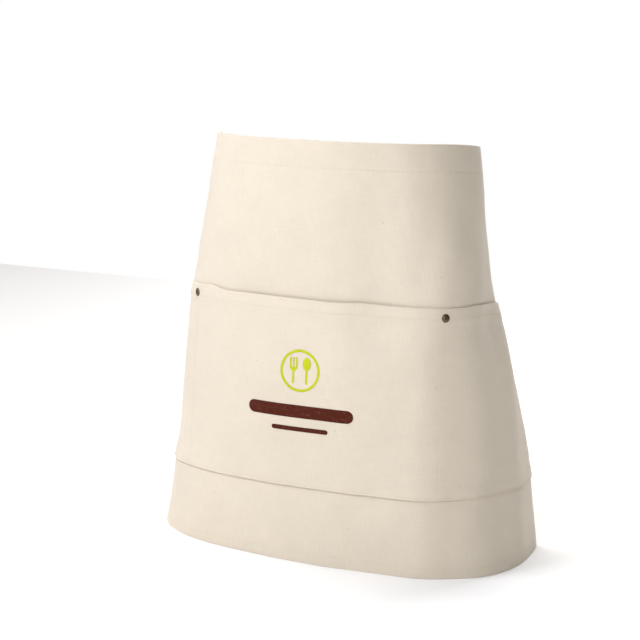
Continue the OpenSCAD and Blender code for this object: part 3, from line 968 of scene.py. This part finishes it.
class APRON_OT_stitching(bpy.types.Operator):
    """Sew the waist band, the hems, the pocket and the ties, stitch by stitch"""

    bl_idname = "apron.stitching"
    bl_label = "Stitching"

    def execute(self, context):
        edge = HALF_W - 0.001
        stitching("waist_stitches", both_sides((-edge, WAIST_SEAM_H), (edge, WAIST_SEAM_H), panel_face),
                  "waist_stitching")
        stitching("hem_stitches", both_sides((-edge, HEM_SEAM_H), (edge, HEM_SEAM_H), panel_face),
                  "hem_stitching")
        stitching("foot_stitches", both_sides((-edge, FOOT_SEAM_H), (edge, FOOT_SEAM_H), pocket_face),
                  "foot_stitching")
        self.sew_mouth(edge)
        self.sew_sides()
        self.sew_divisions()
        self.sew_ties()
        return {"FINISHED"}

    def sew_mouth(self, edge):
        def inside_pocket(s, h):
            return pocket_middle(s, h) - LAY - settings().cloth.cloth_thickness / 2

        clear = RIVET_S - CAP_D * 0.75, RIVET_S + CAP_D * 0.75
        rows = []
        for start, end in ((-edge, -clear[1]), (-clear[0], clear[0]), (clear[1], edge)):
            ends = (start, MOUTH_SEAM_H), (end, MOUTH_SEAM_H)
            rows += [seam(*ends, pocket_face), seam(*ends, inside_pocket, -1)]
        stitching("mouth_stitches", rows, "mouth_stitching")

    def sew_sides(self):
        rows = []
        for side in (-1, 1):
            s = side * SIDE_SEAM_S
            rows += both_sides((s, 0.013), (s, POCKET_FOOT - 0.001), panel_face)
            rows += both_sides((s, POCKET_FOOT + 0.004), (s, POCKET_TOP - 0.0135), pocket_face)
            rows += both_sides((s, POCKET_TOP + 0.002), (s, WAIST_SEAM_H - 0.003), panel_face)
        stitching("side_stitches", rows, "side_stitching")

    def sew_divisions(self):
        rows = []
        for side in (-1, 1):
            s = side * RIVET_S
            rows += both_sides((s, POCKET_FOOT + 0.005), (s, RIVET_H - CAP_D * 0.8), pocket_face)
        stitching("division_stitches", rows, "division_stitching")

    def sew_ties(self):
        def on_tie(s, h):
            return tie_offset(np.abs(s)) - TAPE_T / 2

        rows = []
        for side in (-1, 1):
            near, far = (side * s for s in TIE_BOX_S)
            low, high = TIE_BOX_H
            corners = [(near, low), (far, low), (far, high), (near, high), (near, low)]
            for start, end in zip(corners, corners[1:]):
                rows += [seam(start, end, panel_face), seam(start, end, on_tie, -1)]
            rows += [seam((near, low), (far, high), on_tie, -1), seam((near, high), (far, low), on_tie, -1)]
        stitching("tie_stitches", rows, "tie_stitching")


# ---- ties ----
TAPE_T = 0.7 * MM
CROSS_CELLS = 10              # cells across the tape
HANK_RUNS = 7.5
FREE_BEND = 0.45 * MM         # radius of the tape's fold where it turns down


def tie_offset(s):
    """Offset of the middle of the tape: on the doubled band, and beside it past the side edge."""
    return mix(-3.25 * MM, -1.6 * MM, ramp(s, HALF_W + 0.001, HALF_W + 0.014))


def unit(vector):
    return vector / np.linalg.norm(vector, axis=-1, keepdims=True)


class TieRoute:
    """Where each place of the right tie's flat tape lies: x along it from its fold, y up across it."""

    def __init__(self):
        edge_s, edge_h = HALF_W + 0.004, TIE_TOP - TIE_W / 2
        slope = -2 * EDGE_DROP / (HALF_W - LEVEL_SIDE) * (edge_h / LENGTH)
        s = np.linspace(HALF_W - TIE_SEWN, edge_s, 40)
        self.line = place(s, edge_h + 0 * s, tie_offset(s))
        self.line[:, 2] += np.where(s > HALF_W, slope * (s - HALF_W), 0)
        self.out = way_out(s, edge_h + 0 * s)
        tangent = unit(self.line[-1] - self.line[-5])
        far = (FOLD_X - self.line[-1][0]) / tangent[0]
        self.fold = self.line[-1] + far * tangent
        self.line = np.concatenate([self.line, [self.fold, self.fold + 0.04 * tangent]])
        self.out = np.concatenate([self.out, self.out[-1:], self.out[-1:]])
        run = np.concatenate([[0], np.cumsum(np.linalg.norm(np.diff(self.line, axis=0), axis=1))])
        self.x = run - run[-2]
        self.along = tangent
        down = np.array([0, 0, -1.0])
        self.up = unit(-down - np.dot(-down, tangent) * tangent)
        self.face = np.cross(self.up, tangent)
        self.face *= np.sign(np.dot(self.face, self.out[-1]))
        crease = unit(tangent + down)
        self.crease = np.array([np.dot(crease, tangent), np.dot(crease, self.up)])
        self.past = np.array([-self.crease[1], self.crease[0]])
        self.across = 2 * np.dot(self.up, crease) * crease - self.up
        self.down = down
        self.hank()

    def hank(self):
        """The line of the hanging tape, out from the fold's plane and down: a lead, then the hank's runs."""
        level = self.fold[2] - HANK_TOP
        middle = (HANK_Y - self.fold[1]) / self.face[1]
        points = [(2 * FREE_BEND, 0.0), (2 * FREE_BEND, 0.35 * level), (2 * FREE_BEND, 0.6 * level)]
        rng = np.random.default_rng(8)
        tops = level + 1.2 * MM + rng.uniform(0, 3.2, 9) * MM
        bottoms = level + HANK_L - 1.2 * MM - rng.uniform(0, 3.6, 9) * MM
        self.wrap_level = level + HANK_L / 2

        def stack(index, z):
            spread = np.abs(2 * (z - level) / HANK_L - 1)
            gap = mix(0.76, 1.2, np.clip(spread - 0.25, 0, 1) ** 1.1 / 0.75 ** 1.1) * MM
            return middle + (3.5 - index) * gap

        for index in range(math.ceil(HANK_RUNS)):
            downward = index % 2 == 0
            top = tops[(index + 1) // 2]
            bottom = bottoms[index // 2]
            start, end = (top, bottom) if downward else (bottom, top)
            if index + 1 > HANK_RUNS:
                end = self.wrap_level + 3 * MM
            for z in np.linspace(start, end, 30):
                points.append((stack(index, z), z))
            if index + 1 <= HANK_RUNS:
                here, there = stack(index, end), stack(index + 1, end)
                radius = abs(there - here) / 2
                for turn in np.linspace(0, np.pi, 9)[1:-1]:
                    points.append((mix(here, there, (1 - np.cos(turn)) / 2),
                                   end + (1.25 if downward else -1.25) * radius * np.sin(turn)))
        points = np.array(points)
        run = np.concatenate([[0], np.cumsum(np.linalg.norm(np.diff(points, axis=0), axis=1))])
        self.hang, self.hang_x, self.level = points, run, level
        self.hank_middle = middle

    def at(self, x, y):
        """Points for places on the flat tape."""
        beyond = x * self.past[0] + y * self.past[1]
        along = x * self.crease[0] + y * self.crease[1]
        half = np.pi * FREE_BEND / 2
        before = np.stack([np.interp(x, self.x, self.line[:, axis]) for axis in range(3)], -1)
        facing = np.stack([np.interp(x, self.x, self.out[:, axis]) for axis in range(3)], -1)
        tangent = np.stack([np.interp(x + MM, self.x, self.line[:, axis])
                            - np.interp(x - MM, self.x, self.line[:, axis]) for axis in range(3)], -1)
        wide = unit(np.cross(unit(tangent), unit(facing)))
        wide *= np.sign(wide[..., 2:])
        before = before + y[..., None] * wide
        crease_way = self.crease[0] * self.along + self.crease[1] * self.up
        past_way = self.past[0] * self.along + self.past[1] * self.up
        turn = np.clip((beyond + half) / FREE_BEND, 0, np.pi)
        bend = (self.fold + along[..., None] * crease_way
                + (-half + FREE_BEND * np.sin(turn))[..., None] * past_way
                + (FREE_BEND * (1 - np.cos(turn)))[..., None] * self.face)
        stand = np.interp(x, self.hang_x, self.hang[:, 0])
        sink = np.where(x > 0, np.interp(x, self.hang_x, self.hang[:, 1]), x)
        fan = math.radians(1.5) * np.sin(x / (2.7 * HANK_L) * 2 * np.pi + 0.4)
        fan = fan * ramp(x, self.level, 2 * self.level)
        lift = sink - self.wrap_level
        after = (self.fold + (sink - y * np.sin(fan) + lift * (np.cos(fan) - 1))[..., None] * self.down
                 + (y * np.cos(fan) + lift * np.sin(fan))[..., None] * self.across
                 + stand[..., None] * self.face)
        result = np.where((beyond < -half)[..., None], before, bend)
        return np.where((beyond > half)[..., None], after, result)


def tape_mesh(name, middle, flat, side):
    """A closed tape of even thickness about a grid of points. side -1 mirrors it to the left."""
    normal = unit(np.cross(np.gradient(middle, axis=1), np.gradient(middle, axis=0)))
    outer, inner = middle + normal * TAPE_T / 2, middle - normal * TAPE_T / 2
    if side < 0:
        outer, inner = outer[:, ::-1] * [-1, 1, 1], inner[:, ::-1] * [-1, 1, 1]
        flat = flat[:, ::-1]
    return slab(name, outer, inner, flat)


def tie_mesh(name, route, side):
    """One tie as a single tape: sewn end, fold, lead and hank."""
    start = route.x[0]
    half = np.pi * FREE_BEND / 2 / route.past[0]
    skewed = 0.034
    base = np.concatenate([
        np.arange(start, -half, 1.6 * MM), np.linspace(-half, half, 9),
        np.arange(half + 1.0 * MM, 0.02, 1.4 * MM), route.hang_x[route.hang_x > 0.0208]])
    before = ramp(base, start, start + skewed)
    skew = np.where(base < 0, before, 1 - ramp(base, half, half + skewed))
    y = np.linspace(-TIE_W / 2, TIE_W / 2, CROSS_CELLS + 1)
    x = base[:, None] - (skew * route.past[1] / route.past[0])[:, None] * y[None, :]
    middle = route.at(x, y[None, :] + 0 * x)
    flat = np.stack([y[None, :] + 0 * x, x], -1)
    return tape_mesh(name, middle, flat, side), base[-1] - start


WRAP_TURNS = 1.65


def wrap_mesh(name, route, side):
    """The end of the tape, wound round the middle of the hank."""
    half_wide, half_deep = TIE_W / 2 + 0.9 * MM, 3.75 * MM
    count = round(90 * WRAP_TURNS)
    turn = np.linspace(0, 2 * np.pi * WRAP_TURNS, count) + 0.9 * np.pi
    # A rounded oblong, a little larger with each turn.
    grow = 0.82 * MM * ramp(turn - turn[0], np.pi * 0.7, 2 * np.pi) + 0.5 * MM * ramp(
        turn - turn[0], 2 * np.pi * WRAP_TURNS - 0.5, 2 * np.pi * WRAP_TURNS)
    square = 5.0
    reach = (np.abs(np.cos(turn)) ** square + np.abs(np.sin(turn)) ** square) ** (-1 / square)
    wide = (half_wide + grow) * reach * np.cos(turn)
    deep = (half_deep + grow) * reach * np.sin(turn)
    v = np.linspace(-TIE_W / 2, TIE_W / 2, CROSS_CELLS + 1)
    tilt = math.radians(2.5)
    pinch = 0.25 * MM * (1 - (2 * v / TIE_W) ** 2)
    sideways = wide[:, None] + 0 * v[None, :]
    outwards = route.hank_middle + deep[:, None] - np.sin(turn)[:, None] * pinch[None, :]
    low = route.wrap_level + v[None, :] + np.tan(tilt) * sideways
    middle = (route.fold + low[..., None] * route.down + sideways[..., None] * route.across
              + outwards[..., None] * route.face)
    run = np.concatenate([[0], np.cumsum(np.hypot(np.diff(wide), np.diff(deep)))])
    flat = np.stack(np.broadcast_arrays(v[None, :], run[:, None]), -1)
    return tape_mesh(name, middle, flat, side), run[-1]


class APRON_OT_ties(bpy.types.Operator):
    """Sew on both ties, fold each into a hank and wind its end round it"""

    bl_idname = "apron.ties"
    bl_label = "Ties"

    def execute(self, context):
        route = TieRoute()
        for side, name in ((-1, "left"), (1, "right")):
            tie, length = tie_mesh(f"tie_{name}", route, side)
            tie.name = f"tie_{name}_tape"
            finish_piece(tie, None, "tie_tape", material("tape"), f"tie_{name}_sewn_end", f"tie_{name}")
            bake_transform(tie)
            wrap, wrap_length = wrap_mesh(f"tie_{name}_winding", route, side)
            finish_piece(wrap, f"{name}_tie", "tie_tape", material("tape"), f"tie_{name}_wrap")
        return {"FINISHED"}


# ---- label and print ----
LABEL_W, LABEL_H, LABEL_LOW = 0.032, 0.040, 0.150


class APRON_OT_care_label(bpy.types.Operator):
    """Sew the blank care label inside the left side hem"""

    bl_idname = "apron.care_label"
    bl_label = "Care label"

    def execute(self, context):
        s = np.linspace(-HALF_W + 0.002, -HALF_W + 0.002 + LABEL_W, 25)[None, :]
        h = np.linspace(LABEL_LOW, LABEL_LOW + LABEL_H, 31)[:, None]
        thick = 0.25 * MM
        share = (s - s[0, 0]) / LABEL_W
        up = (h - LABEL_LOW) / LABEL_H
        curl = 2.6 * MM * ramp(share, 0.35, 1.0) * (0.55 + 0.45 * np.cos(2 * np.pi * up))
        middle = -2.35 * MM - curl + 0.25 * MM * np.sin(5 * np.pi * up) * share + 0 * h
        outer, inner = place(s, h, middle + thick / 2), place(s, h, middle - thick / 2)
        flat = np.stack(np.broadcast_arrays(s, h), -1)
        label = slab("care_label_cloth", outer, inner, flat)
        finish_piece(label, "apron", "label", material("label"), "care_label")
        return {"FINISHED"}


INK_T = 0.12 * MM
PRINT_MID = 0.196             # height of the ring's centre
INK_STEP = 0.9 * MM


def ink_grid(s, h):
    """A film of ink over a grid of places on the pocket."""
    gap = 0.05 * MM
    return place(s, h, pocket_face(s, h) + gap + INK_T), place(s, h, pocket_face(s, h) - gap)


def ink_piece(name, patches, finish, slot, node):
    """Several films of ink as one piece."""
    made = []
    for s, h in patches:
        outer, inner = ink_grid(s, h)
        made.append(slab(name, outer, inner, np.stack([s, h], -1)))
    deselect()
    for piece in made:
        piece.select_set(True)
    bpy.context.view_layer.objects.active = made[0]
    if len(made) > 1:
        bpy.ops.object.join()
    piece = made[0]
    piece.name = piece.data.name = name
    return finish_piece(piece, "apron", slot, finish, node)


def upright(mid, levels, side, cells=8):
    """A shape about an upright line: at height h it reaches side(h) each way."""
    reach = np.array([side(h) for h in levels])
    across = np.linspace(-1, 1, cells + 1)
    return mid + reach[:, None] * across[None, :], levels[:, None] + 0 * across[None, :]


def ring(radius, band):
    turn = np.linspace(0, 2 * np.pi, 121)[None, :]
    out = np.linspace(radius - band, radius, 5)[:, None]
    return out * np.sin(turn), PRINT_MID + out * np.cos(turn)


def bar(reach, half, middle):
    """A level bar with round ends."""
    levels = middle + half * np.sin(np.linspace(-np.pi / 2, np.pi / 2, 15))
    end = reach - half + np.sqrt(np.maximum(0, half ** 2 - (levels - middle) ** 2))
    across = np.linspace(-1, 1, 2 * round(reach / INK_STEP) + 1)
    return end[:, None] * across[None, :], levels[:, None] + 0 * across[None, :]


class APRON_OT_print(bpy.types.Operator):
    """Print the ring with its fork and spoon, and the two bars below it"""

    bl_idname = "apron.print"
    bl_label = "Print"

    def execute(self, context):
        grip, foot, head, reach = 1.1 * MM, PRINT_MID - 0.013, PRINT_MID + 0.003, 0.013

        def spoon(h):
            bowl = 1 - ((h - head - 0.004) / 0.0065) ** 2
            return max(grip, 4.4 * MM * math.sqrt(max(0, bowl)))

        def fork(h):
            share = min(1, max(0, (h - head + 0.004) / 0.004))
            return mix(grip, 4.2 * MM, math.sin(math.pi / 2 * share))

        top = PRINT_MID + reach
        utensils = [
            upright(7 * MM, np.linspace(foot, head + 0.0105 - 0.02 * MM, 40), spoon),
            upright(-7 * MM, np.linspace(foot, head, 26), fork)]

        def tine(h):
            return 0.9 * MM * math.sqrt(max(0.05, min(1, (top - h) / 0.9 / MM)))

        for place in (-1, 0, 1):
            tine_line = np.linspace(head + 0.02 * MM, top, 16)
            utensils.append(upright((-7 + 3.2 * place) * MM, tine_line, tine, 3))
        ink_piece("printed_ring", [ring(21 * MM, 2.6 * MM)], material("lime"), "ink_lime", "print_ring")
        ink_piece("printed_fork_and_spoon", utensils, material("lime"), "ink_lime", "print_cutlery")
        bars = [bar(56 * MM, 6.5 * MM, PRINT_MID - 0.041), bar(30 * MM, 2.3 * MM, PRINT_MID - 0.059)]
        ink_piece("printed_bars", bars, material("brown"), "ink_brown", "print_bars")
        return {"FINISHED"}


# ---- stage ----
CAMERA_TURN = math.radians(24.525)
CAMERA_FAR, CAMERA_HIGH = 1.55616, 0.51195
CAMERA_YAW, CAMERA_DOWN, CAMERA_ROLL = (math.radians(a) for a in (-0.566, 9.707, 1.678))
CAMERA_LENS = 91.24


def area_light(name, where, towards, power, size):
    light = bpy.data.lights.new(name, "AREA")
    light.energy = power
    light.shape = "DISK"
    light.size = size
    lamp = bpy.data.objects.new(name, light)
    lamp.location = where
    lamp.rotation_euler = (Vector(towards) - Vector(where)).to_track_quat("-Z", "Y").to_euler()
    bpy.context.scene.collection.objects.link(lamp)
    return lamp


class APRON_OT_stage(bpy.types.Operator):
    """Set the floor, the studio lights and the camera"""

    bl_idname = "apron.stage"
    bl_label = "Stage"

    def execute(self, context):
        self.set_floor()
        self.set_lights()
        self.set_camera()
        return {"FINISHED"}

    def set_floor(self):
        deselect()
        bpy.ops.mesh.primitive_plane_add(size=3.0, location=(0, 0.1, -0.2 * MM))
        floor = context_object("floor")
        paper = Finish("floor_paper")
        grain = paper.noise(paper.object_map(), (900, 900, 900), 2.0)
        tone = paper.blend(grain, (0.95, 0.95, 0.95, 1), (0.97, 0.97, 0.97, 1))
        floor.data.materials.append(paper.surface(
            Base_Color=tone, Roughness=0.9, Specular_IOR_Level=0.1,
            Normal=paper.bump(grain, 0.02 * MM, 0.2)))

    def set_lights(self):
        stage = settings().stage
        middle = (0, 0.09, 0.2)
        key = area_light("key_light", (-0.75, -0.75, 1.15), (0, 0.09, 0.35), stage.key_power, 0.7)
        key.data.color = stage.key_colour
        area_light("front_light", (0.25, -1.6, 1.3), middle, stage.front_power, 1.1)
        area_light("side_light", (0.85, -0.75, 1.0), (0.1, 0, 0.4), stage.side_power, 0.8)
        area_light("back_light", (0.5, 2.4, 1.2), middle, stage.back_power, 1.5)
        light = bpy.data.lights.new("top_light", "SUN")
        light.energy = stage.top_strength
        light.color = stage.top_colour
        light.angle = math.radians(36)
        top = bpy.data.objects.new("top_light", light)
        top.rotation_euler = Vector((-0.5, 0.3, 1)).to_track_quat("Z", "Y").to_euler()
        bpy.context.scene.collection.objects.link(top)
        world = bpy.data.worlds.new("surround")
        bpy.context.scene.world = world
        world.use_nodes = True
        nodes, links = world.node_tree.nodes, world.node_tree.links
        nodes.clear()
        seen = nodes.new("ShaderNodeBackground")
        seen.inputs[0].default_value = (1, 1, 1, 1)
        seen.inputs[1].default_value = 1.0
        lit = nodes.new("ShaderNodeBackground")
        lit.inputs[0].default_value = (1, 1, 1, 1)
        lit.inputs[1].default_value = 0.01
        path = nodes.new("ShaderNodeLightPath")
        blend = nodes.new("ShaderNodeMixShader")
        output = nodes.new("ShaderNodeOutputWorld")
        links.new(path.outputs["Is Camera Ray"], blend.inputs[0])
        links.new(lit.outputs[0], blend.inputs[1])
        links.new(seen.outputs[0], blend.inputs[2])
        links.new(blend.outputs[0], output.inputs[0])
        bpy.context.scene.view_settings.view_transform = "Standard"

    def set_camera(self):
        camera = bpy.data.cameras.new("camera")
        camera.lens = CAMERA_LENS
        camera.sensor_width = 36
        camera.clip_start, camera.clip_end = 0.05, 50
        holder = bpy.data.objects.new("camera", camera)
        turn = CAMERA_TURN + CAMERA_YAW
        right = Vector((math.cos(turn), math.sin(turn), 0))
        ahead = Vector((-math.sin(turn), math.cos(turn), 0))
        up = Vector((0, 0, 1))
        look = math.cos(CAMERA_DOWN) * ahead - math.sin(CAMERA_DOWN) * up
        top = math.sin(CAMERA_DOWN) * ahead + math.cos(CAMERA_DOWN) * up
        cos, sin = math.cos(CAMERA_ROLL), math.sin(CAMERA_ROLL)
        axes = Matrix((cos * right + sin * top, cos * top - sin * right, -look)).transposed()
        where = Vector((CAMERA_FAR * math.sin(CAMERA_TURN), -CAMERA_FAR * math.cos(CAMERA_TURN), CAMERA_HIGH))
        holder.matrix_world = Matrix.Translation(where) @ axes.to_4x4()
        bpy.context.scene.collection.objects.link(holder)
        bpy.context.scene.camera = holder


def context_object(name):
    piece = bpy.context.active_object
    piece.name = piece.data.name = name
    bpy.ops.object.transform_apply(location=True, rotation=True, scale=True)
    return piece


class APRON_PT_panel(bpy.types.Panel):
    """The apron's settings and its pieces"""

    bl_idname = "APRON_PT_panel"
    bl_label = "Waist apron"
    bl_space_type = "VIEW_3D"
    bl_region_type = "UI"
    bl_category = "Apron"

    def draw(self, context):
        for group in (getattr(context.scene.apron, name) for name in ("cloth", "thread", "colour", "stage")):
            box = self.layout.box()
            for name in group.__annotations__:
                box.prop(group, name)
        for operator in OPERATORS:
            self.layout.operator(operator.bl_idname)


OPERATORS = (
    APRON_OT_stage, APRON_OT_main_cloth, APRON_OT_pocket, APRON_OT_rivets, APRON_OT_ties,
    APRON_OT_stitching, APRON_OT_care_label, APRON_OT_print)
CLASSES = (
    ApronClothSettings, ApronThreadSettings, ApronColourSettings, ApronStageSettings, ApronSettings,
    *OPERATORS, APRON_PT_panel)


def register():
    for each in CLASSES:
        bpy.utils.register_class(each)
    bpy.types.Scene.apron = PointerProperty(type=ApronSettings)


def unregister():
    del bpy.types.Scene.apron
    for each in reversed(CLASSES):
        bpy.utils.unregister_class(each)


def main():
    register()
    bpy.ops.apron.stage()
    bpy.ops.apron.main_cloth()
    bpy.ops.apron.pocket()
    bpy.ops.apron.rivets()
    bpy.ops.apron.ties()
    bpy.ops.apron.stitching()
    bpy.ops.apron.care_label()
    bpy.ops.apron.print()


if __name__ == "__main__":
    main()
